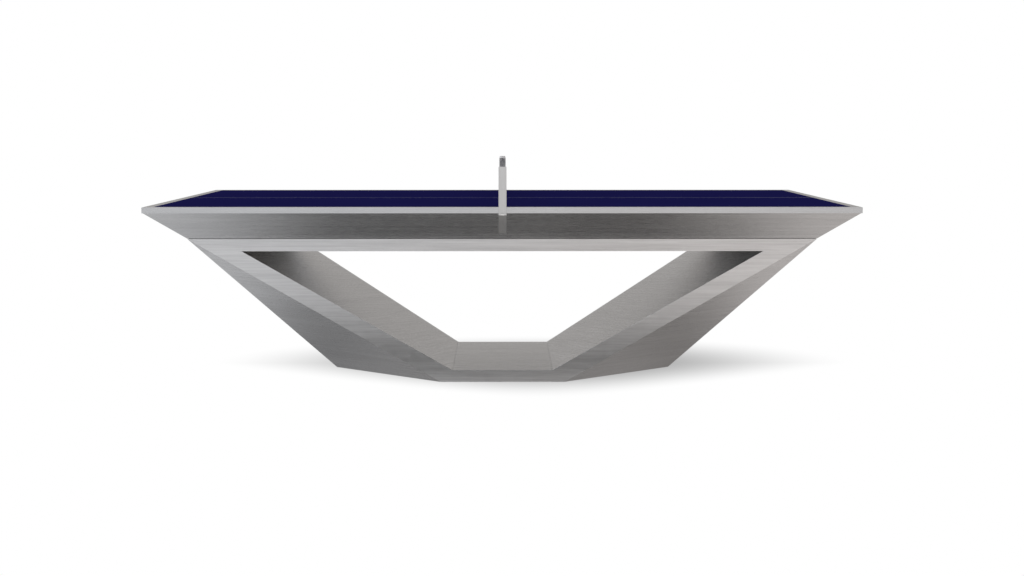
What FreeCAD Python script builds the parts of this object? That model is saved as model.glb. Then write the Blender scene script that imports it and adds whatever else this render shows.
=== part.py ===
import FreeCAD, Part
import os
from itertools import combinations
from math import atan2

# A table tennis table of sheet steel: a wedge-shaped base with a trapezoid window,
# a shallow tray of four sloping aprons, two playing panels in a mitred rim, and a
# clamp-on net. Millimetres, +X along the table, +Y to its far side, +Z up, and the
# origin on the floor under the table's centre.

V = FreeCAD.Vector

# Playing surface, rim and aprons
COURT_LENGTH = 2740.0
COURT_WIDTH = 1525.0
TOP_Z = 760.0
PANEL_THICKNESS = 22.0
PANEL_JOINT_GAP = 0.5
RIM_WIDTH = 38.0
RIM_HEIGHT = 23.0
APRON_THICKNESS = 2.0
APRON_TOP_INSET = 4.0
APRON_BOTTOM_INSET = 146.0
APRON_BOTTOM_Z = 628.0

# Outside of the base: a rectangle at the top narrowing to a hexagon near the floor
BASE_TOP_Z = 626.0
BASE_TOP_HALF_X = 1261.0
BASE_TOP_HALF_Y = 653.5
BASE_BOTTOM_Z = 5.0
BASE_BOTTOM_SIDE_HALF_X = 261.0
BASE_BOTTOM_HALF_Y = 405.0
BASE_BOTTOM_POINT_X = 738.0
SKIN = 2.0
DECK_THICKNESS = 4.0

# Window through the base, a trapezoid that is wider at the top
WINDOW_TOP_Z = 575.0
WINDOW_TOP_HALF_X = 1050.0
WINDOW_BOTTOM_Z = 58.0
WINDOW_BOTTOM_HALF_X = 209.0

# Hidden framework
TUBE_WALL = 2.5
SUBFRAME_RAIL = 60.0
SUBFRAME_RAIL_Y = 560.0
SUBFRAME_RAIL_HALF_X = 1240.0
CROSS_MEMBER_HALF_Y = 715.0
CROSS_MEMBER_WIDTH = 60.0
CROSS_MEMBER_X = (-1220.0, -610.0, 0.0, 610.0, 1220.0)
BRACKET_THICKNESS = 3.0
SIDE_BRACKET_X = (-1050.0, -450.0, 450.0, 1050.0)
END_BRACKET_Y = (-400.0, 0.0, 400.0)
BRACKET_MARGIN = 4.0
BOLT_X = (-900.0, -300.0, 300.0, 900.0)
BOLT_RADIUS = 4.0
BOLT_HEAD_RADIUS = 6.5
BOLT_HEAD_HEIGHT = 8.0
BOLT_TAPPED_RADIUS = 4.05
BOLT_CLEARANCE_RADIUS = 4.5
BOLT_ACCESS_RADIUS = 9.0
DOWEL_RADIUS = 4.0
DOWEL_HOLE_RADIUS = 4.05
DOWEL_HALF_LENGTH = 40.0
DOWEL_Y = (-600.0, -200.0, 200.0, 600.0)
STRUT_DEPTH = 40.0
STRUT_WIDTH = 50.0
STRUT_Y = 260.0
STRUT_FOOT_X = 215.0
SOLE_RAIL_Y = 200.0
SOLE_RAIL_HALF_X = 440.0
DECK_RAIL_HALF_X = 1190.0

# Levelling feet, screwed fully in
FOOT_PLACES = {
    "near_left": (-225.0, -350.0),
    "near_right": (225.0, -350.0),
    "far_left": (-225.0, 350.0),
    "far_right": (225.0, 350.0),
    "left": (-670.0, 0.0),
    "right": (670.0, 0.0),
}
FOOT_PAD_RADIUS = 20.0
FOOT_PAD_THICKNESS = 4.0
FOOT_PAD_CHAMFER = 1.0
FOOT_STUD_RADIUS = 5.0
FOOT_STUD_TOP_Z = 36.0
FOOT_HOLE_RADIUS = 5.5
INSERT_RADIUS = 12.0
INSERT_BORE_RADIUS = 5.05
INSERT_HEIGHT = 30.0

# Net posts, on the middle of the two long rims
PLATE_WIDTH = 31.0
PLATE_THICKNESS = 5.0
PLATE_GAP = 0.3
PLATE_TOP_Z = TOP_Z + 158.4
PLATE_CHAMFER = 0.6
BLOCK_WIDTH = 27.0
BLOCK_DEPTH = 30.0
BLOCK_TOP_Z = TOP_Z + 155.0
POST_PAD_THICKNESS = 1.5
POST_FOOT_THICKNESS = 5.0
POST_FOOT_REACH = 66.0
ROD_RADIUS = 4.0
ROD_BORE_RADIUS = 4.3
ROD_SETBACK = 15.0
ROD_BORE_FLOOR_Z = TOP_Z + 8.0
SLOT_WIDTH = 4.0
SLOT_FLOOR_Z = TOP_Z + 3.0

# Lower jaws of the posts, hinged under the rim and lying on the sloping apron
KNUCKLE_RADIUS = 4.0
KNUCKLE_OUTSET = 1.5
KNUCKLE_DROP = 5.5
PIN_RADIUS = 2.0
PIN_HOLE_RADIUS = 2.05
MIDDLE_KNUCKLE_HALF_X = 5.7
KNUCKLE_SIDE_GAP = 0.3
JAW_THICKNESS = 4.0
JAW_START = 3.8
JAW_END = 131.0
JAW_PAD_THICKNESS = 3.5
JAW_PAD_WIDTH = 27.0
JAW_PAD_START = 9.0
JAW_PAD_END = 127.0
JAW_PAD_GAP = 0.05

# Net
NET_TOP_Z = TOP_Z + 152.5
NET_BOTTOM_Z = TOP_Z + 4.0
NET_THICKNESS = 1.5
NET_ROD_GAP = 0.1
TAPE_THICKNESS = 0.5
TAPE_HEIGHT = 15.0
ROD_LIFT = 0.3
NEAR_ROD_TOP_Z = TOP_Z + 153.0
CAP_RADIUS = 13.5
CAP_HEIGHT = 10.8
CAP_GAP = 0.3
CAP_CHAMFER = 1.0
CAP_STUD_RADIUS = 3.0
CAP_BORE_RADIUS = 3.05
CAP_STUD_HEIGHT = 7.0
CAP_BORE_DEPTH = 7.6

# Sizes that follow from those above
RIM_HALF_X = COURT_LENGTH / 2 + RIM_WIDTH
RIM_HALF_Y = COURT_WIDTH / 2 + RIM_WIDTH
RIM_BOTTOM_Z = TOP_Z - RIM_HEIGHT
PANEL_BOTTOM_Z = TOP_Z - PANEL_THICKNESS
SUBFRAME_TOP_Z = BASE_TOP_Z + SUBFRAME_RAIL
PLATE_INNER_Y = RIM_HALF_Y + PLATE_GAP
ROD_Y = PLATE_INNER_Y - ROD_SETBACK
SAME_PLACE = 1e-5

PARTS = "parts"


def plane(normal, point):
    """An outward-facing plane: its unit normal, and its distance from the origin."""
    unit = V(normal)
    unit.normalize()
    return unit, unit.dot(point)


def above(z):
    return plane(V(0, 0, -1), V(0, 0, z))


def below(z):
    return plane(V(0, 0, 1), V(0, 0, z))


def between(direction, low, high):
    """The two planes that keep a point's distance along a direction from low to high."""
    return [plane(-direction, direction * low), plane(direction, direction * high)]


def deeper(face, depth):
    """The plane that leaves what is at least this deep under a face."""
    return face[0], face[1] - depth


def shallower(face, depth):
    """The plane that leaves what is at most this deep under a face."""
    return -face[0], depth - face[1]


def nearest(face, others):
    """The mitre planes that leave what is no deeper under a face than under the others."""
    mitres = []
    for other in others:
        normal = other[0] - face[0]
        length = normal.Length
        mitres.append((normal * (1 / length), (other[1] - face[1]) / length))
    return mitres


def sheet_planes(face, thickness):
    return [face, shallower(face, thickness)]


def convex_solid(planes):
    """The solid inside all of the planes."""
    corners = []
    for a, b, c in combinations(planes, 3):
        volume = a[0].dot(b[0].cross(c[0]))
        if abs(volume) < 1e-9:
            continue
        point = b[0].cross(c[0]) * a[1] + c[0].cross(a[0]) * b[1] + a[0].cross(b[0]) * c[1]
        point = point * (1 / volume)
        inside = all(n.dot(point) < d + SAME_PLACE for n, d in planes)
        if inside and all((point - q).Length > SAME_PLACE for q in corners):
            corners.append(point)
    faces = []
    used = []
    for normal, distance in planes:
        ring = [p for p in corners if abs(normal.dot(p) - distance) < 2 * SAME_PLACE]
        if len(ring) < 3 or ring in used:
            continue
        used.append(ring)
        faces.append(polygon_face(ring, normal))
    return Part.makeSolid(Part.makeShell(faces))


def polygon_face(points, normal):
    """A flat face through unsorted corners, facing along normal."""
    centre = sum(points, V()) * (1 / len(points))
    across = points[0] - centre
    across.normalize()
    up = normal.cross(across)
    ring = sorted(points, key=lambda p: atan2((p - centre).dot(up), (p - centre).dot(across)))
    return Part.Face(Part.makePolygon(ring + ring[:1]))


def box(x, y, z):
    """A box from pairs of limits."""
    size = (x[1] - x[0], y[1] - y[0], z[1] - z[0])
    return Part.makeBox(*size, V(x[0], y[0], z[0]))


def tube_along_x(x, y, z):
    bore = box(x, (y[0] + TUBE_WALL, y[1] - TUBE_WALL), (z[0] + TUBE_WALL, z[1] - TUBE_WALL))
    return box(x, y, z).cut(bore)


def tube_along_y(x, y, z):
    bore = box((x[0] + TUBE_WALL, x[1] - TUBE_WALL), y, (z[0] + TUBE_WALL, z[1] - TUBE_WALL))
    return box(x, y, z).cut(bore)


def upright_cylinder(radius, x, y, z):
    return Part.makeCylinder(radius, z[1] - z[0], V(x, y, z[0]))


def cross_cylinder(radius, x, y, z):
    """A cylinder along X."""
    return Part.makeCylinder(radius, x[1] - x[0], V(x[0], y, z), V(1, 0, 0))


def turned(shape):
    """The same piece on the other side of the table."""
    copy = shape.copy()
    copy.rotate(V(), V(0, 0, 1), 180)
    return copy


def save(node, *solids):
    shape = solids[0] if len(solids) == 1 else Part.makeCompound(list(solids))
    shape.exportStep(f"{PARTS}/{node}.step")


def base_faces():
    """The outer faces of the base, by name."""
    top = V(BASE_TOP_HALF_X, BASE_TOP_HALF_Y, BASE_TOP_Z)
    side = V(BASE_BOTTOM_SIDE_HALF_X, BASE_BOTTOM_HALF_Y, BASE_BOTTOM_Z)
    point = V(BASE_BOTTOM_POINT_X, 0, BASE_BOTTOM_Z)
    rise = BASE_TOP_Z - BASE_BOTTOM_Z
    side_normal = V(0, rise, BASE_BOTTOM_HALF_Y - BASE_TOP_HALF_Y)
    end_normal = V(rise, 0, BASE_BOTTOM_POINT_X - BASE_TOP_HALF_X)
    facet_normal = (point - top).cross(side - top)
    if facet_normal.x < 0:
        facet_normal = -facet_normal
    faces = {"bottom": above(BASE_BOTTOM_Z)}
    for side_name, sy in (("near", -1), ("far", 1)):
        normal = V(0, sy * side_normal.y, side_normal.z)
        faces[side_name] = plane(normal, V(0, sy * side.y, side.z))
        for end_name, sx in (("left", -1), ("right", 1)):
            normal = V(sx * facet_normal.x, sy * facet_normal.y, facet_normal.z)
            faces[f"{side_name}_{end_name}"] = plane(normal, V(sx * point.x, 0, point.z))
    for end_name, sx in (("left", -1), ("right", 1)):
        normal = V(sx * end_normal.x, 0, end_normal.z)
        faces[end_name] = plane(normal, V(sx * point.x, 0, point.z))
    return faces


def window_faces():
    """The four sides of the window, facing into it."""
    rise = WINDOW_TOP_Z - WINDOW_BOTTOM_Z
    run = WINDOW_TOP_HALF_X - WINDOW_BOTTOM_HALF_X
    faces = {"soffit": above(WINDOW_TOP_Z), "floor": below(WINDOW_BOTTOM_Z)}
    for end_name, sx in (("left", -1), ("right", 1)):
        corner = V(sx * WINDOW_TOP_HALF_X, 0, WINDOW_TOP_Z)
        faces[end_name] = plane(V(-sx * rise, 0, run), corner)
    return faces


def others(faces, name):
    return [face for key, face in faces.items() if key != name]


def build_base():
    outer = base_faces()
    window = window_faces()
    top = below(BASE_TOP_Z)

    for side in ("near", "far"):
        face = outer[side]
        skin = sheet_planes(face, SKIN) + nearest(face, others(outer, side)) + [top]
        beyond_soffit = nearest(face, [window["soffit"]])
        beyond_floor = nearest(face, [window["floor"]])
        save(f"{side}_face_top_rail", convex_solid(skin + beyond_soffit))
        save(f"{side}_face_bottom_rail", convex_solid(skin + beyond_floor))
        between_rails = nearest(window["soffit"], [face]) + nearest(window["floor"], [face])
        for end in ("left", "right"):
            strip = skin + between_rails + nearest(face, [window[end]])
            save(f"{side}_face_{end}_strip", convex_solid(strip))

    for name, face in outer.items():
        if name in ("near", "far", "bottom"):
            continue
        skin = sheet_planes(face, SKIN) + nearest(face, others(outer, name)) + [top]
        node = f"end_panel_{name}" if name in ("left", "right") else f"facet_{name}"
        save(node, convex_solid(skin))

    sides = [outer["near"], outer["far"]]
    for name, face in window.items():
        lining = sheet_planes(face, SKIN) + nearest(face, sides)
        for other in others(window, name):
            lining += nearest(other, [face])
        node = f"leg_lining_{name}" if name in ("left", "right") else f"{name}_lining"
        save(node, convex_solid(lining))

    bottom = outer["bottom"]
    plate = convex_solid(sheet_planes(bottom, SKIN) + nearest(bottom, others(outer, "bottom")))
    inserts = []
    plate_top_z = BASE_BOTTOM_Z + SKIN
    for x, y in FOOT_PLACES.values():
        hole = upright_cylinder(FOOT_HOLE_RADIUS, x, y, (BASE_BOTTOM_Z - 1, plate_top_z + 1))
        plate = plate.cut(hole)
        span = (plate_top_z, plate_top_z + INSERT_HEIGHT)
        insert = upright_cylinder(INSERT_RADIUS, x, y, span)
        inserts.append(insert.cut(upright_cylinder(INSERT_BORE_RADIUS, x, y, span)))
    save("bottom_plate", plate)
    save("foot_inserts", *inserts)

    deck_faces = [top, above(BASE_TOP_Z - DECK_THICKNESS)]
    deck_faces += [deeper(face, SKIN) for face in others(outer, "bottom")]
    deck = convex_solid(deck_faces)
    for x in BOLT_X:
        for y in (-SUBFRAME_RAIL_Y, SUBFRAME_RAIL_Y):
            span = (BASE_TOP_Z - DECK_THICKNESS - 1, BASE_TOP_Z + 1)
            deck = deck.cut(upright_cylinder(BOLT_TAPPED_RADIUS, x, y, span))
    save("base_deck", deck)


def build_base_tubes():
    window = window_faces()
    soffit_top_z = WINDOW_TOP_Z + SKIN
    along_y = V(0, 1, 0)
    struts = []
    for end, sx in (("left", -1), ("right", 1)):
        leg = window[end]
        foot = plane(V(-sx, 0, 0), V(sx * STRUT_FOOT_X, 0, 0))
        for centre in (-STRUT_Y, STRUT_Y):
            limits = [deeper(leg, SKIN), shallower(leg, SKIN + STRUT_DEPTH), foot]
            limits += between(along_y, centre - STRUT_WIDTH / 2, centre + STRUT_WIDTH / 2)
            strut = convex_solid(limits + [below(soffit_top_z)])
            half = STRUT_WIDTH / 2 - TUBE_WALL
            bore = [deeper(leg, SKIN + TUBE_WALL), foot]
            bore += [shallower(leg, SKIN + STRUT_DEPTH - TUBE_WALL)]
            bore += between(along_y, centre - half, centre + half) + [below(soffit_top_z)]
            struts.append(strut.cut(convex_solid(bore)))
    save("leg_struts", *struts)

    half = STRUT_WIDTH / 2
    sole_z = (BASE_BOTTOM_Z + SKIN, WINDOW_BOTTOM_Z - SKIN)
    sole_x = (-SOLE_RAIL_HALF_X, SOLE_RAIL_HALF_X)
    deck_z = (soffit_top_z, BASE_TOP_Z - DECK_THICKNESS)
    deck_x = (-DECK_RAIL_HALF_X, DECK_RAIL_HALF_X)
    soles = [tube_along_x(sole_x, (y - half, y + half), sole_z) for y in (-SOLE_RAIL_Y, SOLE_RAIL_Y)]
    decks = [tube_along_x(deck_x, (y - half, y + half), deck_z) for y in (-STRUT_Y, STRUT_Y)]
    save("sole_rails", *soles)
    save("deck_rails", *decks)


def build_feet():
    for name, (x, y) in FOOT_PLACES.items():
        pad = upright_cylinder(FOOT_PAD_RADIUS, x, y, (0, FOOT_PAD_THICKNESS))
        rim = [edge for edge in pad.Edges if edge.BoundBox.ZMin > FOOT_PAD_THICKNESS / 2]
        pad = pad.makeChamfer(FOOT_PAD_CHAMFER, rim)
        stud = upright_cylinder(FOOT_STUD_RADIUS, x, y, (FOOT_PAD_THICKNESS, FOOT_STUD_TOP_Z))
        save(f"levelling_foot_{name}", pad.fuse(stud))


def build_subframe():
    half = SUBFRAME_RAIL / 2
    rail_z = (BASE_TOP_Z, SUBFRAME_TOP_Z)
    floor_top_z = BASE_TOP_Z + TUBE_WALL
    rails = []
    bolts = []
    for y in (-SUBFRAME_RAIL_Y, SUBFRAME_RAIL_Y):
        x_span = (-SUBFRAME_RAIL_HALF_X, SUBFRAME_RAIL_HALF_X)
        rail = tube_along_x(x_span, (y - half, y + half), rail_z)
        for x in BOLT_X:
            clearance = (BASE_TOP_Z - 1, floor_top_z + 1)
            access = (SUBFRAME_TOP_Z - TUBE_WALL - 1, SUBFRAME_TOP_Z + 1)
            rail = rail.cut(upright_cylinder(BOLT_CLEARANCE_RADIUS, x, y, clearance))
            rail = rail.cut(upright_cylinder(BOLT_ACCESS_RADIUS, x, y, access))
            shank = (BASE_TOP_Z - DECK_THICKNESS, floor_top_z)
            head = (floor_top_z, floor_top_z + BOLT_HEAD_HEIGHT)
            bolt = upright_cylinder(BOLT_RADIUS, x, y, shank)
            bolts.append(bolt.fuse(upright_cylinder(BOLT_HEAD_RADIUS, x, y, head)))
        rails.append(rail)
    save("subframe_rails", *rails)
    save("deck_bolts", *bolts)

    members = []
    half = CROSS_MEMBER_WIDTH / 2
    for x in CROSS_MEMBER_X:
        y_span = (-CROSS_MEMBER_HALF_Y, CROSS_MEMBER_HALF_Y)
        members.append(tube_along_y((x - half, x + half), y_span, (SUBFRAME_TOP_Z, PANEL_BOTTOM_Z)))
    save("cross_members", *members)


def apron_faces():
    """The outer faces of the four aprons, by name."""
    drop = RIM_BOTTOM_Z - APRON_BOTTOM_Z
    run = APRON_BOTTOM_INSET - APRON_TOP_INSET
    half_x = RIM_HALF_X - APRON_TOP_INSET
    half_y = RIM_HALF_Y - APRON_TOP_INSET
    return {
        "near": plane(V(0, -drop, -run), V(0, -half_y, RIM_BOTTOM_Z)),
        "far": plane(V(0, drop, -run), V(0, half_y, RIM_BOTTOM_Z)),
        "left": plane(V(-drop, 0, -run), V(-half_x, 0, RIM_BOTTOM_Z)),
        "right": plane(V(drop, 0, -run), V(half_x, 0, RIM_BOTTOM_Z)),
    }


def build_tray():
    aprons = apron_faces()
    for name, face in aprons.items():
        limits = sheet_planes(face, APRON_THICKNESS) + nearest(face, others(aprons, name))
        save(f"apron_{name}", convex_solid(limits + [below(RIM_BOTTOM_Z), above(APRON_BOTTOM_Z)]))

    rims = {
        "near": plane(V(0, -1, 0), V(0, -RIM_HALF_Y, 0)),
        "far": plane(V(0, 1, 0), V(0, RIM_HALF_Y, 0)),
        "left": plane(V(-1, 0, 0), V(-RIM_HALF_X, 0, 0)),
        "right": plane(V(1, 0, 0), V(RIM_HALF_X, 0, 0)),
    }
    for name, face in rims.items():
        limits = sheet_planes(face, RIM_WIDTH) + nearest(face, others(rims, name))
        save(f"rim_{name}", convex_solid(limits + [below(TOP_Z), above(RIM_BOTTOM_Z)]))

    brackets = []
    margin = BRACKET_MARGIN
    half = BRACKET_THICKNESS / 2
    rail_side = SUBFRAME_RAIL_Y + SUBFRAME_RAIL / 2
    for side, sy in (("near", -1), ("far", 1)):
        heights = [above(BASE_TOP_Z + margin), below(SUBFRAME_TOP_Z - margin)]
        for x in SIDE_BRACKET_X:
            limits = between(V(1, 0, 0), x - half, x + half) + heights
            limits += [plane(V(0, -sy, 0), V(0, sy * rail_side, 0))]
            brackets.append(convex_solid(limits + [deeper(aprons[side], APRON_THICKNESS)]))
    member_side = CROSS_MEMBER_X[-1] + CROSS_MEMBER_WIDTH / 2
    for end, sx in (("left", -1), ("right", 1)):
        heights = [above(SUBFRAME_TOP_Z + margin), below(PANEL_BOTTOM_Z - margin)]
        for y in END_BRACKET_Y:
            limits = between(V(0, 1, 0), y - half, y + half) + heights
            limits += [plane(V(-sx, 0, 0), V(sx * member_side, 0, 0))]
            brackets.append(convex_solid(limits + [deeper(aprons[end], APRON_THICKNESS)]))
    save("apron_brackets", *brackets)


def build_panels():
    dowel_z = TOP_Z - PANEL_THICKNESS / 2
    half_gap = PANEL_JOINT_GAP / 2
    panel = box(
        (half_gap, COURT_LENGTH / 2),
        (-COURT_WIDTH / 2, COURT_WIDTH / 2),
        (PANEL_BOTTOM_Z, TOP_Z),
    )
    dowels = []
    for y in DOWEL_Y:
        panel = panel.cut(cross_cylinder(DOWEL_HOLE_RADIUS, (0, DOWEL_HALF_LENGTH + 1), y, dowel_z))
        dowels.append(
            cross_cylinder(DOWEL_RADIUS, (-DOWEL_HALF_LENGTH, DOWEL_HALF_LENGTH), y, dowel_z)
        )
    save("playing_panel_right", panel)
    save("playing_panel_left", turned(panel))
    save("panel_dowels", *dowels)


def near_post():
    """The near post's block and rubber foot pad."""
    half = BLOCK_WIDTH / 2
    foot_bottom_z = TOP_Z + POST_PAD_THICKNESS
    foot_top_z = foot_bottom_z + POST_FOOT_THICKNESS
    foot_y = (-RIM_HALF_Y, -RIM_HALF_Y + POST_FOOT_REACH)
    column_y = (-PLATE_INNER_Y, -PLATE_INNER_Y + BLOCK_DEPTH)
    block = box((-half, half), column_y, (foot_bottom_z, BLOCK_TOP_Z))
    block = block.fuse(box((-half, half), foot_y, (foot_bottom_z, foot_top_z))).removeSplitter()
    bore = (ROD_BORE_FLOOR_Z, BLOCK_TOP_Z + 1)
    block = block.cut(upright_cylinder(ROD_BORE_RADIUS, 0, -ROD_Y, bore))
    slot_x = (-SLOT_WIDTH / 2, SLOT_WIDTH / 2)
    block = block.cut(box(slot_x, (-ROD_Y, foot_y[1] + 1), (SLOT_FLOOR_Z, BLOCK_TOP_Z + 1)))
    pad = box((-half, half), foot_y, (TOP_Z, foot_bottom_z))
    return block, pad


def near_hinge():
    """The hinge's place: outward from the centre line, and up."""
    return RIM_HALF_Y + KNUCKLE_OUTSET, RIM_BOTTOM_Z - KNUCKLE_DROP


def near_plate():
    """The near post's outer plate, with the two outer knuckles at its lower end."""
    half = PLATE_WIDTH / 2
    hinge_y, hinge_z = near_hinge()
    outer_y = -PLATE_INNER_Y - PLATE_THICKNESS
    plate = box((-half, half), (outer_y, -PLATE_INNER_Y), (hinge_z, PLATE_TOP_Z))
    corners = [e for e in plate.Edges if e.BoundBox.YMax < outer_y + 1 and e.BoundBox.ZMin > hinge_z + 1]
    sides = [e for e in plate.Edges if e.BoundBox.YMax < outer_y + 1 and e.BoundBox.ZLength > 1]
    plate = plate.makeChamfer(PLATE_CHAMFER, corners + sides)
    plate = plate.fuse(cross_cylinder(KNUCKLE_RADIUS, (-half, half), -hinge_y, hinge_z))
    gap = MIDDLE_KNUCKLE_HALF_X + KNUCKLE_SIDE_GAP
    reach = KNUCKLE_RADIUS + KNUCKLE_SIDE_GAP
    notch = box((-gap, gap), (outer_y - 5, -PLATE_INNER_Y + 5), (hinge_z - reach, hinge_z + reach))
    plate = plate.cut(notch)
    return plate.cut(cross_cylinder(PIN_HOLE_RADIUS, (-half - 1, half + 1), -hinge_y, hinge_z))


def near_jaw():
    """The near post's jaw and the rubber pad on it."""
    apron = apron_faces()["near"]
    outward = apron[0]
    edge = V(0, -RIM_HALF_Y + APRON_TOP_INSET, RIM_BOTTOM_Z)
    down_slope = V(0, -outward.z, outward.y)
    hinge_y, hinge_z = near_hinge()
    axis = V(0, -hinge_y, hinge_z)
    start = down_slope.dot(axis) + JAW_START + KNUCKLE_SIDE_GAP
    top = down_slope.dot(edge)
    surface = apron[1] + JAW_PAD_GAP
    back = surface + JAW_PAD_THICKNESS
    across = V(1, 0, 0)

    def slab(half_width, along, thickness):
        limits = between(across, -half_width, half_width) + between(down_slope, *along)
        return convex_solid(limits + between(outward, *thickness))

    jaw = slab(PLATE_WIDTH / 2, (start, top + JAW_END), (back, back + JAW_THICKNESS))
    neck_end = start + JAW_THICKNESS
    neck = slab(MIDDLE_KNUCKLE_HALF_X, (down_slope.dot(axis), neck_end), (back, back + JAW_THICKNESS))
    span = (-MIDDLE_KNUCKLE_HALF_X, MIDDLE_KNUCKLE_HALF_X)
    jaw = jaw.fuse([neck, cross_cylinder(KNUCKLE_RADIUS, span, -hinge_y, hinge_z)])
    jaw = jaw.cut(cross_cylinder(PIN_HOLE_RADIUS, (-PLATE_WIDTH, PLATE_WIDTH), -hinge_y, hinge_z))
    pad = slab(JAW_PAD_WIDTH / 2, (top + JAW_PAD_START, top + JAW_PAD_END), (surface, back))
    return jaw, pad


def build_posts():
    block, foot_pad = near_post()
    plate = near_plate()
    jaw, jaw_pad = near_jaw()
    hinge_y, hinge_z = near_hinge()
    pin = cross_cylinder(PIN_RADIUS, (-PLATE_WIDTH / 2, PLATE_WIDTH / 2), -hinge_y, hinge_z)
    save("post_foot_pads", foot_pad, turned(foot_pad))
    save("hinge_pins", pin, turned(pin))
    pieces = {"post_block": block, "post_plate": plate, "jaw": jaw, "jaw_pad": jaw_pad}
    for name, piece in pieces.items():
        save(f"near_{name}", piece)
        save(f"far_{name}", turned(piece))


def build_net():
    half = NET_THICKNESS / 2
    net_y = ROD_Y - ROD_RADIUS - NET_ROD_GAP
    net = box((-half, half), (-net_y, net_y), (NET_BOTTOM_Z, NET_TOP_Z))
    outer = half + TAPE_THICKNESS
    tape_z = (NET_TOP_Z - TAPE_HEIGHT, NET_TOP_Z + TAPE_THICKNESS)
    tape = box((-outer, outer), (-net_y, net_y), tape_z).cut(net)
    save("net_mesh", net)
    save("net_top_tape", tape)

    rod_bottom_z = ROD_BORE_FLOOR_Z + ROD_LIFT
    shoulder_z = BLOCK_TOP_Z + CAP_GAP
    near_rod = upright_cylinder(ROD_RADIUS, 0, -ROD_Y, (rod_bottom_z, NEAR_ROD_TOP_Z))
    far_rod = upright_cylinder(ROD_RADIUS, 0, ROD_Y, (rod_bottom_z, shoulder_z))
    stud = (shoulder_z, shoulder_z + CAP_STUD_HEIGHT)
    far_rod = far_rod.fuse(upright_cylinder(CAP_STUD_RADIUS, 0, ROD_Y, stud))
    save("net_rods", near_rod, far_rod)

    cap_z = (shoulder_z + CAP_GAP, shoulder_z + CAP_GAP + CAP_HEIGHT)
    cap = upright_cylinder(CAP_RADIUS, 0, ROD_Y, cap_z)
    rims = [edge for edge in cap.Edges if edge.BoundBox.ZLength < 1]
    cap = cap.makeChamfer(CAP_CHAMFER, rims)
    bore = (cap_z[0] - 1, cap_z[0] + CAP_BORE_DEPTH)
    save("tension_cap", cap.cut(upright_cylinder(CAP_BORE_RADIUS, 0, ROD_Y, bore)))


os.makedirs(PARTS, exist_ok=True)
build_base()
build_base_tubes()
build_feet()
build_subframe()
build_tray()
build_panels()
build_posts()
build_net()
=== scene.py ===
"""Looks of a table tennis table of brushed sheet steel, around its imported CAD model."""
import math
import random

import bpy
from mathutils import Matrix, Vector


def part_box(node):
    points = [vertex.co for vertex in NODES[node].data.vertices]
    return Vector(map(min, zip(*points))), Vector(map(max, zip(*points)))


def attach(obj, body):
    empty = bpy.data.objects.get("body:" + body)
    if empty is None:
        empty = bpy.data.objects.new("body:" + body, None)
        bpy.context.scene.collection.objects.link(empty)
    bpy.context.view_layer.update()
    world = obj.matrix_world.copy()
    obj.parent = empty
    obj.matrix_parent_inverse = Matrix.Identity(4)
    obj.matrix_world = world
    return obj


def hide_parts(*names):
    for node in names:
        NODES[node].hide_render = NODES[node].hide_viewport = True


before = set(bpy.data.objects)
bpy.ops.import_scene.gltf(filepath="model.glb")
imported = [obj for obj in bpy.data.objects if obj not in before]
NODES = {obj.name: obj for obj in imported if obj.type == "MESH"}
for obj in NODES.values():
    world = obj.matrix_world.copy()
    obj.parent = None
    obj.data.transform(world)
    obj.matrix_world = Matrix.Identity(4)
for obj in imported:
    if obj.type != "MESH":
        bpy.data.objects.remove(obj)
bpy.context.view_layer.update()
MM = 0.001

X = Vector((1, 0, 0))
Y = Vector((0, 1, 0))
Z = Vector((0, 0, 1))


# ---------------------------------------------------------------- shader nodes

def rgb(color):
    """A colour with the fourth number that a colour socket takes."""
    return (*color, 1.0)


class Nodes:
    """A node tree, with short ways to add its nodes."""

    def __init__(self, tree):
        self.tree = tree

    def add(self, kind, inputs=None, **settings):
        node = self.tree.nodes.new(kind)
        for key, value in settings.items():
            setattr(node, key, value)
        for key, value in (inputs or {}).items():
            if isinstance(value, bpy.types.NodeSocket):
                self.tree.links.new(value, node.inputs[key])
            else:
                node.inputs[key].default_value = value
        return node

    def math(self, operation, *values):
        return self.add("ShaderNodeMath", dict(enumerate(values)), operation=operation).outputs[0]

    def plus(self, a, b):
        return self.math("ADD", a, b)

    def minus(self, a, b):
        return self.math("SUBTRACT", a, b)

    def times(self, a, b):
        return self.math("MULTIPLY", a, b)

    def dot(self, vector, direction):
        inputs = {0: vector, 1: tuple(direction)}
        node = self.add("ShaderNodeVectorMath", inputs, operation="DOT_PRODUCT")
        return node.outputs["Value"]

    def length(self, vector):
        return self.add("ShaderNodeVectorMath", {0: vector}, operation="LENGTH").outputs["Value"]

    def vector(self, *parts):
        return self.add("ShaderNodeCombineXYZ", dict(enumerate(parts))).outputs[0]

    def ramp(self, value, low, high, to_low=0.0, to_high=1.0, smooth=True):
        """A value's range from low to high, moved to another range."""
        inputs = {0: value, 1: low, 2: high, 3: to_low, 4: to_high}
        kind = "SMOOTHSTEP" if smooth else "LINEAR"
        return self.add("ShaderNodeMapRange", inputs, interpolation_type=kind).outputs[0]

    def mix(self, factor, a, b):
        """Colour a where the factor is 0 and colour b where it is 1."""
        inputs = {0: factor, 6: a, 7: b}
        return self.add("ShaderNodeMix", inputs, data_type="RGBA").outputs[2]

    def tinted(self, color, value):
        """A colour times a value."""
        inputs = {0: color, "Scale": value}
        return self.add("ShaderNodeVectorMath", inputs, operation="SCALE").outputs[0]

    def seen_or_lit(self, seen, lit):
        """A shader that shows one thing to the camera and another to every other ray."""
        path = self.add("ShaderNodeLightPath")
        inputs = {0: path.outputs["Is Camera Ray"], 1: lit, 2: seen}
        return self.add("ShaderNodeMixShader", inputs).outputs[0]


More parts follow.
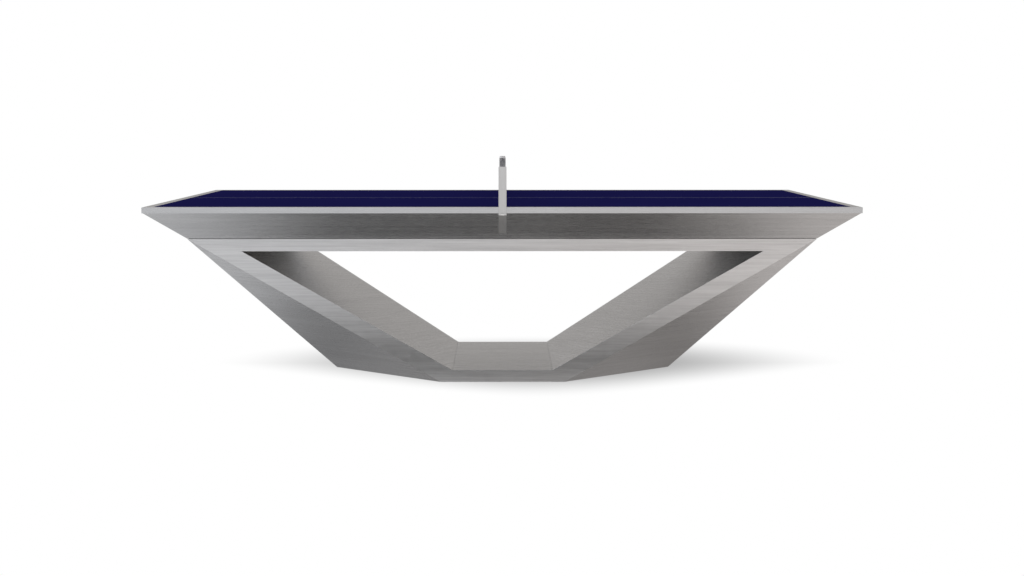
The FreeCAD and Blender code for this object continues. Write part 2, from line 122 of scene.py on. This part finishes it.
class Paint(Nodes):
    """A node material around one principled shader."""

    def __init__(self, name):
        self.material = bpy.data.materials.new(name)
        self.material.use_nodes = True
        super().__init__(self.material.node_tree)
        self.shader = self.tree.nodes["Principled BSDF"]
        self.position = self.add("ShaderNodeTexCoord").outputs["Object"]

    def stretched(self, axes, per_metre):
        """The position along three axes, each scaled to so many features per metre."""
        along = [self.dot(self.position, axis) for axis in axes]
        return self.vector(*[self.times(part, scale) for part, scale in zip(along, per_metre)])

    def noise(self, vector, detail=2.0, roughness=0.5, scale=1.0):
        inputs = {"Vector": vector, "Scale": scale, "Detail": detail, "Roughness": roughness}
        return self.add("ShaderNodeTexNoise", inputs).outputs["Fac"]

    def spread(self, noise, low, high, smooth=False):
        """A noise, whose values lie mostly from 0.3 to 0.7, spread from low to high."""
        return self.ramp(noise, 0.3, 0.7, low, high, smooth)

    def normal(self):
        return self.add("ShaderNodeNewGeometry").outputs["Normal"]

    def rounded(self, radius):
        """The surface's direction with its edges rounded off."""
        return self.add("ShaderNodeBevel", {"Radius": radius}, samples=4).outputs[0]

    def edge(self, radius):
        """0 on flat places and up to 1 on edges."""
        inputs = {0: self.rounded(radius), 1: self.normal()}
        same = self.add("ShaderNodeVectorMath", inputs, operation="DOT_PRODUCT").outputs["Value"]
        return self.ramp(same, 1.0, 0.8)

    def bump(self, height, strength, depth, normal=None):
        inputs = {"Height": height, "Strength": strength, "Distance": depth}
        if normal is not None:
            inputs["Normal"] = normal
        self.link(self.add("ShaderNodeBump", inputs).outputs[0], "Normal")

    def link(self, socket, name):
        self.tree.links.new(socket, self.shader.inputs[name])

    def set(self, **values):
        for name, value in values.items():
            self.shader.inputs[name.replace("_", " ")].default_value = value


# ---------------------------------------------------------------- materials

STEEL = (0.60, 0.60, 0.60)

# Marks in brushed steel, per metre: along the grain, across it, and out of the sheet.
BANDS = (0.9, 26, 26)
STREAKS = (2.6, 95, 95)
SCRATCHES = (24, 3800, 3800)
CLOUDS = 2.3
# How strongly each of them changes the tone, at a streak of 1.
BAND_TONE = 0.16
STREAK_TONE = 0.42
SCRATCH_TONE = 0.30
CLOUD_TONE = 0.08


def brushed(name, grain, normal, color=STEEL, roughness=0.25, haze=0.06,
            streak=1.0, anisotropic=0.7, soften=0.0):
    """Steel brushed along one direction: long streaks, fine scratches, faint clouds, polished edges.

    The scratches raise the roughness by up to haze, streak scales how uneven the tone is, and
    soften is the radius that the sheet's folds seem to have.
    """
    p = Paint(name)
    grain = Vector(grain).normalized()
    normal = Vector(normal).normalized()
    across = normal.cross(grain).normalized()
    axes = (grain, across, normal)
    bands = p.noise(p.stretched(axes, BANDS), detail=3)
    streaks = p.noise(p.stretched(axes, STREAKS), detail=3, roughness=0.7)
    scratches = p.noise(p.stretched(axes, SCRATCHES), detail=1)
    clouds = p.noise(p.position, scale=CLOUDS, detail=3)
    worn = p.edge(0.9 * MM)

    tone = p.math("MULTIPLY_ADD", p.minus(bands, 0.5), BAND_TONE * streak, 1.0)
    for marks, amount in ((streaks, STREAK_TONE), (scratches, SCRATCH_TONE), (clouds, CLOUD_TONE)):
        tone = p.plus(tone, p.times(p.minus(marks, 0.5), amount * streak))
    tone = p.plus(tone, p.times(worn, 0.12))
    p.link(p.tinted(color, tone), "Base Color")

    rough = p.ramp(scratches, 0.35, 0.65, roughness - 0.04, roughness + haze, smooth=False)
    rough = p.plus(rough, p.spread(streaks, -0.015, 0.015))
    rough = p.plus(rough, p.spread(clouds, -0.015, 0.015))
    rough = p.minus(rough, p.times(worn, 0.08))
    p.link(rough, "Roughness")

    p.set(Metallic=1.0, Anisotropic=anisotropic)
    tangent = p.add("ShaderNodeVectorTransform", {0: tuple(across)}, vector_type="VECTOR")
    p.link(tangent.outputs[0], "Tangent")
    p.bump(scratches, 0.12, 0.12 * MM, p.rounded(soften) if soften else None)
    return p.material


CENTRE_LINE_HALF = 2.3 * MM
CENTRE_LINE_BLUR = 0.3 * MM
CENTRE_LINE_WAVER = 0.12 * MM


def lacquer(name):
    """Matt navy lacquer on board with a thin white centre line; the underside is bare grey."""
    p = Paint(name)
    clouds = p.noise(p.position, scale=3.0, detail=4)
    peel = p.noise(p.position, scale=520, detail=2)
    scuffs = p.noise(p.stretched((X, Y, Z), (9, 22, 9)), detail=5, roughness=0.7)
    scuffs = p.ramp(scuffs, 0.62, 0.80)
    blue = p.mix(clouds, rgb((0.0068, 0.0066, 0.046)), rgb((0.0092, 0.0088, 0.058)))
    blue = p.mix(p.times(scuffs, 0.25), blue, rgb((0.018, 0.018, 0.072)))

    from_middle = p.math("ABSOLUTE", p.dot(p.position, Y))
    waver = p.noise(p.position, scale=900, detail=1)
    from_middle = p.plus(from_middle, p.spread(waver, -CENTRE_LINE_WAVER, CENTRE_LINE_WAVER))
    line = p.ramp(from_middle, CENTRE_LINE_HALF, CENTRE_LINE_HALF + CENTRE_LINE_BLUR, 1.0, 0.0)
    up = p.dot(p.normal(), Z)
    line = p.times(line, p.math("GREATER_THAN", up, 0.7))
    top = p.mix(p.times(line, 0.8), blue, rgb((0.34, 0.35, 0.40)))
    board = p.mix(clouds, rgb((0.10, 0.095, 0.09)), rgb((0.14, 0.132, 0.125)))
    p.link(p.mix(p.math("LESS_THAN", up, -0.7), top, board), "Base Color")

    p.link(p.minus(p.spread(clouds, 0.56, 0.64), p.times(scuffs, 0.08)), "Roughness")
    p.set(Specular_IOR_Level=0.0)
    p.bump(peel, 0.25, 0.05 * MM)
    return p.material


def powder(name, color, roughness):
    """Powder coat: fine orange peel, faint clouds, paler worn edges."""
    p = Paint(name)
    clouds = p.noise(p.position, scale=40, detail=3)
    peel = p.noise(p.position, scale=1400, detail=2)
    worn = p.edge(0.6 * MM)
    tone = p.plus(p.spread(clouds, 0.9, 1.1), p.times(worn, 0.5))
    p.link(p.tinted(color, tone), "Base Color")
    p.link(p.spread(peel, roughness - 0.05, roughness + 0.07), "Roughness")
    p.set(Specular_IOR_Level=0.4)
    p.bump(peel, 0.3, 0.06 * MM)
    return p.material


def rubber(name):
    """Black rubber: a fine grain under a little dust."""
    p = Paint(name)
    grain = p.noise(p.position, scale=1800, detail=2)
    dust = p.noise(p.position, scale=60, detail=4)
    p.link(p.mix(dust, rgb((0.012, 0.012, 0.012)), rgb((0.03, 0.03, 0.031))), "Base Color")
    p.link(p.spread(grain, 0.68, 0.85), "Roughness")
    p.set(Specular_IOR_Level=0.3)
    p.bump(grain, 0.35, 0.08 * MM)
    return p.material


def primed(name):
    """Primed steel tube, hidden inside the base and the tray."""
    p = Paint(name)
    runs = p.noise(p.position, scale=14, detail=4)
    peel = p.noise(p.position, scale=700, detail=2)
    p.link(p.mix(runs, rgb((0.085, 0.085, 0.088)), rgb((0.13, 0.13, 0.132))), "Base Color")
    p.link(p.spread(runs, 0.5, 0.66), "Roughness")
    p.bump(peel, 0.2, 0.08 * MM)
    return p.material


def zinc(name):
    """Zinc plate: a mottled spangle."""
    p = Paint(name)
    cells = p.add("ShaderNodeTexVoronoi", {"Vector": p.position, "Scale": 160.0}).outputs["Color"]
    spangle = p.dot(cells, Vector((0.3, 0.4, 0.3)))
    clouds = p.noise(p.position, scale=55, detail=3)
    tone = p.ramp(spangle, 0, 1, 0.88, 1.08, smooth=False)
    tone = p.plus(tone, p.spread(clouds, -0.06, 0.06, smooth=True))
    p.link(p.tinted((0.6, 0.6, 0.585), tone), "Base Color")
    p.link(p.ramp(spangle, 0, 1, 0.32, 0.48, smooth=False), "Roughness")
    p.set(Metallic=1.0)
    p.bump(clouds, 0.2, 0.1 * MM)
    return p.material


def beech(name):
    """Beech dowel: pale fibres along X."""
    p = Paint(name)
    fibre = p.noise(p.stretched((X, Y, Z), (16, 900, 900)), detail=3)
    p.link(p.mix(fibre, rgb((0.42, 0.27, 0.14)), rgb((0.62, 0.43, 0.25))), "Base Color")
    p.link(p.spread(fibre, 0.5, 0.65, smooth=True), "Roughness")
    p.bump(fibre, 0.3, 0.1 * MM)
    return p.material


TURNING = 2600      # tool marks per metre


def turned_metal(name, centre):
    """Bright metal turned on a lathe: rings about an upright axis."""
    p = Paint(name)
    inputs = {0: p.position, 1: tuple(-centre)}
    offset = p.add("ShaderNodeVectorMath", inputs, operation="ADD").outputs[0]
    inputs = {0: offset, 1: (1, 1, 0)}
    level = p.add("ShaderNodeVectorMath", inputs, operation="MULTIPLY").outputs[0]
    rings = p.vector(p.times(p.length(level), TURNING), p.times(p.dot(offset, Z), TURNING))
    rings = p.noise(rings, detail=2)
    clouds = p.noise(p.position, scale=120, detail=2)
    tone = p.plus(p.spread(rings, 0.9, 1.06), p.spread(clouds, -0.04, 0.04, smooth=True))
    p.link(p.tinted((0.74, 0.74, 0.75), tone), "Base Color")
    p.link(p.spread(rings, 0.22, 0.34), "Roughness")
    p.set(Metallic=1.0)
    p.bump(rings, 0.15, 0.05 * MM)
    return p.material


def cloth(name, color, pitch, twill=True):
    """Woven tape or cord: crossing threads at a fine pitch, with a soft sheen."""
    p = Paint(name)
    turn = 2 * math.pi / pitch
    slant = 1.0 if twill else 0.0
    warp = p.math("SINE", p.times(p.dot(p.position, Y + Z * slant), turn))
    weft = p.math("SINE", p.times(p.dot(p.position, Z - Y * slant), turn))
    weave = p.times(warp, weft)
    fuzz = p.noise(p.position, scale=2500, detail=2)
    clouds = p.noise(p.position, scale=35, detail=3)
    tone = p.ramp(weave, -1, 1, 0.72, 1.25, smooth=False)
    tone = p.plus(tone, p.spread(fuzz, -0.2, 0.2, smooth=True))
    tone = p.plus(tone, p.spread(clouds, -0.1, 0.1, smooth=True))
    p.link(p.tinted(color, tone), "Base Color")
    p.set(Roughness=0.85, Sheen_Weight=0.35, Sheen_Roughness=0.4, Specular_IOR_Level=0.2)
    p.bump(p.plus(weave, fuzz), 0.5, 0.1 * MM)
    return p.material


# ---------------------------------------------------------------- what each CAD node is made of

# Directions of the sheets that are not square to the frame: those of the left lining, and those
# of a facet without the signs of its corner.
LINING_GRAIN = Vector((0.203, 1.2, -0.125))
LINING_UP = Vector((517, 0, 841))
FACET_GRAIN = Vector((477, 405, 0))
FACET_OUT = Vector((0.386, 0.454, 0.803))
LINING_FOLD = 8.0 * MM


def mirrored(vector):
    """The same direction on the table's other end."""
    return Vector((-vector.x, vector.y, vector.z))


def facet_look(name, side_x, side_y):
    """The steel of the corner facet towards side_x and side_y, brushed along its top edge."""
    grain = Vector((FACET_GRAIN.x * side_x, -FACET_GRAIN.y * side_y, 0))
    out = Vector((FACET_OUT.x * side_x, FACET_OUT.y * side_y, -FACET_OUT.z))
    return brushed(f"steel_{name}", grain, out, haze=0.15)


steel_face = brushed("steel_face", X, Y, (0.70, 0.70, 0.70), roughness=0.38, haze=0.22, streak=1.3)
steel_apron = brushed("steel_apron", X, Y)
steel_floor = brushed("steel_floor", X, Z, soften=LINING_FOLD)
# Painted shade: the soffit and the bottom plate face down under the table top, so this copy of the
# steel is darker (0.42 against 0.60) to stand in for the shade they lie in, and the linings mirror
# that dark.
steel_soffit_painted_shade = brushed("steel_soffit_painted_shade", X, Z, (0.42, 0.42, 0.42), roughness=0.35)
steel_end = brushed("steel_end", Y, X)
lining_left = brushed("steel_lining_left", LINING_GRAIN, LINING_UP, soften=LINING_FOLD)
lining_right = brushed(
    "steel_lining_right", mirrored(LINING_GRAIN), mirrored(LINING_UP), soften=LINING_FOLD
)
RIM = {"color": (0.60, 0.605, 0.615), "roughness": 0.22, "streak": 0.5}
rim_along = brushed("rim_along", X, Y, **RIM)
rim_across = brushed("rim_across", Y, X, **RIM)
post_upright = brushed("post_upright", Z, Y, (0.63, 0.63, 0.63), roughness=0.33, streak=0.6)
jaw_steel = brushed(
    "jaw_steel", Z, Y, (0.74, 0.74, 0.73), roughness=0.45, streak=0.6, anisotropic=0.3
)
navy = lacquer("navy_lacquer")
post_coat = powder("post_coat", (0.33, 0.33, 0.335), 0.42)
rod_black = powder("rod_black", (0.022, 0.022, 0.024), 0.38)
tube = primed("primed_tube")
plated = zinc("zinc_plate")
rubber_black = rubber("rubber_black")
dowel_wood = beech("dowel_wood")

# Each key is the start of the names of the nodes that it is for. The longest one counts.
LOOKS = {
    "near_face": steel_face, "far_face": steel_face,
    "apron_near": steel_apron, "apron_far": steel_apron,
    "apron_left": steel_end, "apron_right": steel_end,
    "end_panel": steel_end,
    "facet_near_left": facet_look("facet_near_left", -1, -1),
    "facet_near_right": facet_look("facet_near_right", 1, -1),
    "facet_far_left": facet_look("facet_far_left", -1, 1),
    "facet_far_right": facet_look("facet_far_right", 1, 1),
    "leg_lining_left": lining_left, "leg_lining_right": lining_right,
    "floor_lining": steel_floor, "soffit_lining": steel_soffit_painted_shade,
    "bottom_plate": steel_soffit_painted_shade, "base_deck": tube,
    "rim_near": rim_along, "rim_far": rim_along, "rim_left": rim_across, "rim_right": rim_across,
    "playing_panel": navy, "panel_dowels": dowel_wood,
    "near_post_block": post_coat, "far_post_block": post_coat,
    "near_post_plate": post_upright, "far_post_plate": post_upright,
    "near_jaw_pad": rubber_black, "far_jaw_pad": rubber_black, "post_foot_pads": rubber_black,
    "near_jaw": jaw_steel, "far_jaw": jaw_steel,
    "hinge_pins": plated, "net_rods": rod_black, "deck_bolts": plated, "foot_inserts": plated,
    "levelling_foot": plated, "apron_brackets": tube,
    "subframe_rails": tube, "cross_members": tube, "leg_struts": tube,
    "sole_rails": tube, "deck_rails": tube,
}
REPLACED = ("net_mesh", "net_top_tape", "tension_cap")
BEVEL_WIDTHS = {
    "near_post_block": 0.8 * MM, "far_post_block": 0.8 * MM,
    "near_jaw": 0.5 * MM, "far_jaw": 0.5 * MM, "rim": 0.5 * MM,
    "near_post_plate": 0.25 * MM, "far_post_plate": 0.25 * MM, "playing_panel": 0.15 * MM,
}
SHEET_BEVEL = 0.3 * MM
SHARP_ANGLE = math.radians(28)
WELD_DISTANCE = 0.005 * MM


def longest_match(table, name, default=None):
    keys = [key for key in table if name.startswith(key)]
    return table[max(keys, key=len)] if keys else default


for name, node in NODES.items():
    if name in REPLACED:
        continue
    node.data.materials.clear()
    node.data.materials.append(longest_match(LOOKS, name))
    weld = node.modifiers.new("weld", "WELD")
    weld.merge_threshold = WELD_DISTANCE
    bevel = node.modifiers.new("bevel", "BEVEL")
    bevel.width = longest_match(BEVEL_WIDTHS, name, SHEET_BEVEL)
    bevel.segments = 2
    bevel.limit_method = "ANGLE"
    bevel.angle_limit = SHARP_ANGLE
    bevel.harden_normals = True


# ---------------------------------------------------------------- pieces made here

def piece(name, vertices, faces, material, body, smooth=True):
    """A new mesh object that rides on a body."""
    mesh = bpy.data.meshes.new(name)
    mesh.from_pydata(vertices, [], faces)
    mesh.validate()
    mesh.update()
    if smooth:
        mesh.polygons.foreach_set("use_smooth", [True] * len(mesh.polygons))
    mesh.materials.append(material)
    made = bpy.data.objects.new(name, mesh)
    bpy.context.scene.collection.objects.link(made)
    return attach(made, body)


def circle(steps):
    """The angles of a circle's points."""
    return [2 * math.pi * k / steps for k in range(steps)]


def skin_rings(start, rings, sides, faces):
    """Joins rings of points, one after another, with four-sided faces."""
    for i in range(rings - 1):
        for k in range(sides):
            a = start + i * sides + k
            b = start + i * sides + (k + 1) % sides
            faces.append((a, b, b + sides, a + sides))


THREAD_SIDES = 5


def add_thread(path, radius, vertices, faces):
    """Adds a closed tube along a path that runs across X."""
    start = len(vertices)
    last = len(path) - 1
    for i, point in enumerate(path):
        ahead = path[min(i + 1, last)] - path[max(i - 1, 0)]
        side = ahead.cross(X).normalized()
        for angle in circle(THREAD_SIDES):
            offset = X * (math.cos(angle) * radius) + side * (math.sin(angle) * radius)
            vertices.append(point + offset)
    skin_rings(start, len(path), THREAD_SIDES, faces)
    faces.append([start + k for k in reversed(range(THREAD_SIDES))])
    faces.append([start + last * THREAD_SIDES + k for k in range(THREAD_SIDES)])


NET_COLUMNS = 125
NET_ROWS = 12
CORD_RADIUS = 0.46 * MM
CORD_WEAVE = 0.22 * MM      # how far a cord leaves the net's plane where another crosses it
KNOT_STRAY_Y = 0.35 * MM    # how far a knot may be out of line
KNOT_STRAY_Z = 0.3 * MM
NET_GAP_BELOW = 1.3 * MM
NET_GAP_ABOVE = 1.0 * MM


def netting():
    """Square netting: cords that pass over and under each other, with uneven crossings."""
    low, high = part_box("net_mesh")
    rng = random.Random(4)
    bottom = low.z + NET_GAP_BELOW
    top = high.z - NET_GAP_ABOVE
    pitch_y = (high.y - low.y - 2 * CORD_RADIUS) / NET_COLUMNS
    pitch_z = (top - bottom) / NET_ROWS
    columns = range(NET_COLUMNS + 1)
    rows = range(NET_ROWS + 1)
    stray_y = [[rng.uniform(-KNOT_STRAY_Y, KNOT_STRAY_Y) for _ in rows] for _ in columns]
    stray_z = [[rng.uniform(-KNOT_STRAY_Z, KNOT_STRAY_Z) for _ in rows] for _ in columns]
    vertices, faces = [], []

    def knot(i, j):
        y = low.y + CORD_RADIUS + i * pitch_y
        z = bottom + j * pitch_z
        if 0 < i < NET_COLUMNS:
            y += stray_y[i][j]
        if 0 < j < NET_ROWS:
            z += stray_z[i][j]
        return Vector((0, y, z))

    def add_cord(knots, over):
        """A cord on the side over of its first knot, and then on each side in turn."""
        path = []
        for here, beyond in zip(knots, knots[1:]):
            path += [here + X * over, (here + beyond) / 2]
            over = -over
        path.append(knots[-1] + X * over)
        add_thread(path, CORD_RADIUS, vertices, faces)

    for i in columns:
        add_cord([knot(i, j) for j in rows], CORD_WEAVE if i % 2 else -CORD_WEAVE)
    for j in rows:
        add_cord([knot(i, j) for i in columns], -CORD_WEAVE if j % 2 else CORD_WEAVE)
    return vertices, faces


TAPE_THICKNESS = 0.5 * MM
TAPE_STEPS = 300
PUCKER = 0.10 * MM
PUCKER_STRAY = 0.05 * MM
PUCKER_PITCH = 12.5 * MM
TAPE_WAVE = 0.25 * MM
TAPE_WAVE_PITCH = 190 * MM


def folded_tape(low, high):
    """A tape folded over the top of the net, faintly puckered: a U-shaped outline run along Y."""
    rng = random.Random(7)
    half = (high.x - low.x) / 2
    inner = half - TAPE_THICKNESS
    bend = half * 0.55
    shoulder = high.z - 1.1 * MM
    brow = high.z - 0.25 * MM
    inner_shoulder = high.z - 1.2 * MM
    outline = [
        (-half, low.z), (-half, shoulder), (-bend, brow), (0, high.z),
        (bend, brow), (half, shoulder), (half, low.z),
        (inner, low.z), (inner, inner_shoulder), (0, high.z - TAPE_THICKNESS),
        (-inner, inner_shoulder), (-inner, low.z),
    ]
    vertices, faces = [], []
    count = len(outline)
    for i in range(TAPE_STEPS + 1):
        y = low.y + (high.y - low.y) * i / TAPE_STEPS
        stray = rng.uniform(-PUCKER_STRAY, PUCKER_STRAY)
        pucker = PUCKER * math.sin(2 * math.pi * y / PUCKER_PITCH) + stray
        wave = TAPE_WAVE * math.sin(2 * math.pi * y / TAPE_WAVE_PITCH)
        for x, z in outline:
            share = (high.z - z) / (high.z - low.z)
            vertices.append(Vector((x + math.copysign(pucker, x) * share, y, z + wave * share)))
    for i in range(TAPE_STEPS):
        for k in range(count):
            a = i * count + k
            b = i * count + (k + 1) % count
            faces.append((a, a + count, b + count, b))
    faces.append(list(range(count)))
    faces.append([TAPE_STEPS * count + k for k in reversed(range(count))])
    return vertices, faces


STITCH_PITCH = 4.2 * MM
STITCH_RADIUS = 0.22 * MM
STITCH_PROUD = 0.12 * MM
STITCH_SUNK = 0.08 * MM


def stitches(low, high):
    """Two rows of lockstitch along the tape, on both of its sides."""
    vertices, faces = [], []
    for side in (-1, 1):
        proud = side * (high.x + STITCH_PROUD)
        sunk = side * (high.x - STITCH_SUNK)
        stitch = ((sunk, 0.0), (proud, 0.8 * MM), (proud, 2.2 * MM), (sunk, 3.0 * MM))
        for z in (low.z + 1.8 * MM, high.z - 3.0 * MM):
            y = low.y + 3 * MM
            while y < high.y - 5 * MM:
                path = [Vector((x, y + along, z)) for x, along in stitch]
                add_thread(path, STITCH_RADIUS, vertices, faces)
                y += STITCH_PITCH
    return vertices, faces


CAP_FLUTES = 48
FLUTE_POINTS = 4
FLUTE_DEPTH = 0.45 * MM
CAP_BORE_RADIUS = 3.2 * MM
CAP_BORE_DEPTH = 7.6 * MM


def fluted_cap(low, high):
    """A flat round cap with coned edges, straight flutes round its side and a bore from below."""
    centre = (low + high) / 2
    radius = (high.x - low.x) / 2
    steps = CAP_FLUTES * FLUTE_POINTS
    rings = [
        (low.z, CAP_BORE_RADIUS, 0),
        (low.z, radius - 1.6 * MM, 0),
        (low.z + 0.3 * MM, radius - 1.0 * MM, 0),
        (low.z + 1.2 * MM, radius, 0),
        (low.z + 1.7 * MM, radius, FLUTE_DEPTH),
        (high.z - 2.2 * MM, radius, FLUTE_DEPTH),
        (high.z - 1.7 * MM, radius, 0),
        (high.z - 0.9 * MM, radius, 0),
        (high.z - 0.15 * MM, radius - 0.9 * MM, 0),
        (high.z, radius - 1.5 * MM, 0),
        (high.z, radius - 3.2 * MM, 0),
        (high.z - 0.4 * MM, radius - 3.8 * MM, 0),
        (high.z - 0.45 * MM, 2.0 * MM, 0),
    ]
    vertices, faces = [], []

    def add_ring(height, reach, depth):
        for angle in circle(steps):
            r = reach - depth * (0.5 - 0.5 * math.cos(angle * CAP_FLUTES))
            x = centre.x + math.cos(angle) * r
            vertices.append(Vector((x, centre.y + math.sin(angle) * r, height)))

    for ring in rings:
        add_ring(*ring)
    skin_rings(0, len(rings), steps, faces)
    faces.append([(len(rings) - 1) * steps + k for k in range(steps)])

    start = len(vertices)
    add_ring(low.z + CAP_BORE_DEPTH, CAP_BORE_RADIUS, 0)
    for k in range(steps):
        b = (k + 1) % steps
        faces.append((k, start + k, start + b, b))
    faces.append([start + k for k in range(steps)])
    return vertices, faces


cord_look = cloth("net_cord", (0.022, 0.022, 0.03), 0.9 * MM)
tape_look = cloth("net_tape", (0.03, 0.03, 0.045), 1.1 * MM, twill=False)
thread_look = cloth("tape_thread", (0.09, 0.09, 0.11), 0.5 * MM)

net = piece("net_netting", *netting(), cord_look, "net")
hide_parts("net_mesh")
tape_low, tape_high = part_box("net_top_tape")
tape = piece("net_folded_tape", *folded_tape(tape_low, tape_high), tape_look, "net")
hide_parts("net_top_tape")
seam = piece("net_tape_stitches", *stitches(tape_low, tape_high), thread_look, "net")

cap_low, cap_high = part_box("tension_cap")
cap_look = turned_metal("cap_metal", (cap_low + cap_high) / 2)
cap_mesh = fluted_cap(cap_low, cap_high)
cap = piece("tension_cap_fluted", *cap_mesh, cap_look, "tension_cap", smooth=False)
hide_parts("tension_cap")


# ---------------------------------------------------------------- camera

scene = bpy.context.scene
lens = bpy.data.cameras.new("camera")
lens.lens = 55.0
lens.sensor_width = 36.0
camera = bpy.data.objects.new("camera", lens)
camera.location = (0, -6.90477, 1.09107)
camera.rotation_euler = (math.radians(90 - 6.0525), 0, math.radians(-0.34676))
scene.collection.objects.link(camera)
scene.camera = camera
scene.view_settings.view_transform = "Standard"
scene.view_settings.look = "None"


# ---------------------------------------------------------------- floor and light

WHITE = (1.0, 1.0, 1.0)
COOL = (0.98, 0.985, 1.01)
WARM = (1.04, 0.985, 0.96)
WARM_BACK = (1.02, 0.985, 0.96)

# The soft shadow that the camera sees on the white floor: an ellipse, shorter towards the front.
FLOOR_HALF_SIDE = 30.0
SHADOW_CENTRE = (0.14, 0.15)
SHADOW_REACH = (1.35, 0.85)
SHADOW_TAPER = 0.9
SHADOW_DEPTH = 0.4
SHADOW_FADE = (0.3, 1.1)

# The grey floor that the steel mirrors. Each pair of distances from the middle is where one
# brightness gives way to the next, in metres along the table (X) or out from it (Y).
FLOOR_ENDS = 0.62
FLOOR_OPEN = 0.9
FLOOR_FAR = 0.42
FLOOR_HORIZON = 0.78
OPEN_FROM = (0.6, 1.1)
FAR_FROM = (1.2, 2.4)
HORIZON_FROM = (4, 10)
FLOOR_SHADOW = 0.03
SHADOW_ALONG = (0.55, 1.6)
SHADOW_OUT = (0.62, 1.05)
FLOOR_BOUNCE = 0.30
BOUNCE_ALONG = (0.5, 1.2)
BOUNCE_OUT = (0.42, 0.52)
TINT_ALONG = (-1.2, 1.0)

# Each wall of light: the direction it is in, its brightness low down and high up, and its tint.
WALLS = (
    (-Y, 0.92, 1.25, WHITE),
    (Y, 0.33, 0.6, WARM_BACK),
    (-X, 0.9, 2.2, COOL),
    (X, 0.5, 1.3, WARM),
)
WALL_HEIGHTS = (0.0, 0.45)
CEILING = (0.8, 0.8, 0.8)
CEILING_FROM = (0.55, 0.9)


def floor_seen(p):
    """White with a soft shadow round the base."""
    right = p.minus(p.dot(p.position, X), SHADOW_CENTRE[0])
    back = p.minus(p.dot(p.position, Y), SHADOW_CENTRE[1])
    front = p.math("MINIMUM", back, 0.0)
    reach = p.math("MULTIPLY_ADD", front, SHADOW_TAPER, SHADOW_REACH[0])
    parts = p.math("DIVIDE", right, reach), p.math("DIVIDE", back, SHADOW_REACH[1])
    shade = p.ramp(p.length(p.vector(*parts)), *SHADOW_FADE, SHADOW_DEPTH, 1.0)
    return p.add("ShaderNodeEmission", {"Color": rgb(WHITE), "Strength": shade}).outputs[0]


def floor_mirrored(p):
    """The light that the floor gives off to every ray but the camera's: grey, with the table's own
    broad shadow and a paler patch of bounce light under its base painted into it.
    """
    along = p.math("ABSOLUTE", p.dot(p.position, X))
    out = p.math("ABSOLUTE", p.dot(p.position, Y))
    shadow = p.times(p.ramp(along, *SHADOW_ALONG, 1, 0), p.ramp(out, *SHADOW_OUT, 1, 0))
    bounce = p.times(p.ramp(out, *BOUNCE_OUT, 1, 0), p.ramp(along, *BOUNCE_ALONG, 1, 0))
    open_floor = p.ramp(out, *OPEN_FROM, FLOOR_ENDS, FLOOR_OPEN)
    open_floor = p.plus(open_floor, p.ramp(out, *FAR_FROM, 0, FLOOR_FAR - FLOOR_OPEN))
    open_floor = p.plus(open_floor, p.ramp(out, *HORIZON_FROM, 0, FLOOR_HORIZON - FLOOR_FAR))
    dark = p.ramp(bounce, 0, 1, FLOOR_SHADOW, FLOOR_BOUNCE, smooth=False)
    inputs = {0: shadow, 2: open_floor, 3: dark}
    glow = p.add("ShaderNodeMix", inputs, data_type="FLOAT").outputs[0]
    tint = p.mix(p.ramp(p.dot(p.position, X), *TINT_ALONG), rgb(COOL), rgb(WARM))
    return p.add("ShaderNodeEmission", {"Color": tint, "Strength": glow}).outputs[0]


def studio_floor():
    """The floor. Its shadows are part of its own light, and stay in place."""
    p = Paint("studio_floor")
    side = FLOOR_HALF_SIDE
    corners = [(-side, -side, 0), (side, -side, 0), (side, side, 0), (-side, side, 0)]
    mesh = bpy.data.meshes.new("studio_floor")
    mesh.from_pydata(corners, [], [(0, 1, 2, 3)])
    mesh.materials.append(p.material)
    floor = bpy.data.objects.new("studio_floor", mesh)
    scene.collection.objects.link(floor)
    surface = p.seen_or_lit(floor_seen(p), floor_mirrored(p))
    p.tree.links.new(surface, p.tree.nodes["Material Output"].inputs["Surface"])


def studio_sky():
    """White to the camera. The steel mirrors four soft walls of light and a ceiling."""
    world = bpy.data.worlds.new("studio_sky")
    world.use_nodes = True
    scene.world = world
    p = Nodes(world.node_tree)
    p.tree.nodes.clear()
    direction = p.add("ShaderNodeTexCoord").outputs["Generated"]
    height = p.dot(direction, Z)
    level = p.math("MAXIMUM", p.minus(1.0, p.times(height, height)), 0.0001)
    level = p.math("SQRT", level)
    total = (0.0, 0.0, 0.0)
    for toward, low, high, tint in WALLS:
        facing = p.math("MAXIMUM", p.dot(direction, toward), 0.0)
        facing = p.math("DIVIDE", facing, level)
        share = p.times(facing, facing)
        bright = p.times(share, p.ramp(height, *WALL_HEIGHTS, low, high))
        inputs = {0: total, 1: p.tinted(tint, bright)}
        total = p.add("ShaderNodeVectorMath", inputs, operation="ADD").outputs[0]
    total = p.mix(p.ramp(height, *CEILING_FROM), total, rgb(CEILING))
    lit = p.add("ShaderNodeBackground", {"Color": total}).outputs[0]
    seen = p.add("ShaderNodeBackground", {"Color": rgb(WHITE)}).outputs[0]
    p.add("ShaderNodeOutputWorld", {"Surface": p.seen_or_lit(seen, lit)})


studio_floor()
studio_sky()
